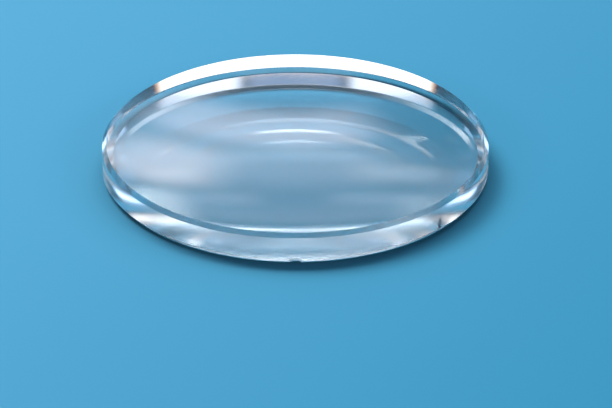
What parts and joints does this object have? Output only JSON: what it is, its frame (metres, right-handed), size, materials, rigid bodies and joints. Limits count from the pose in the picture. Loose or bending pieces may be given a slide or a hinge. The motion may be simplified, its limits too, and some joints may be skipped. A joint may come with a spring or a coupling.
{
  "type": "plano concave lens",
  "caption": "Round clear glass lens with one flat face, one hollow spherical face, a polished edge and chamfered rims, chipped at the lower edge.",
  "frame": {"origin": "centre of the flat face, which the lens rests on", "axes": "+Z along the optical axis, from the flat face to the hollow face; the chip in the lower edge is towards -Y"},
  "size_m": [0.075, 0.075, 0.0064],
  "materials": {
    "glass": "clear polished optical glass"
  },
  "bodies": {
    "root": {"lens": "glass"}
  },
  "joints": []
}
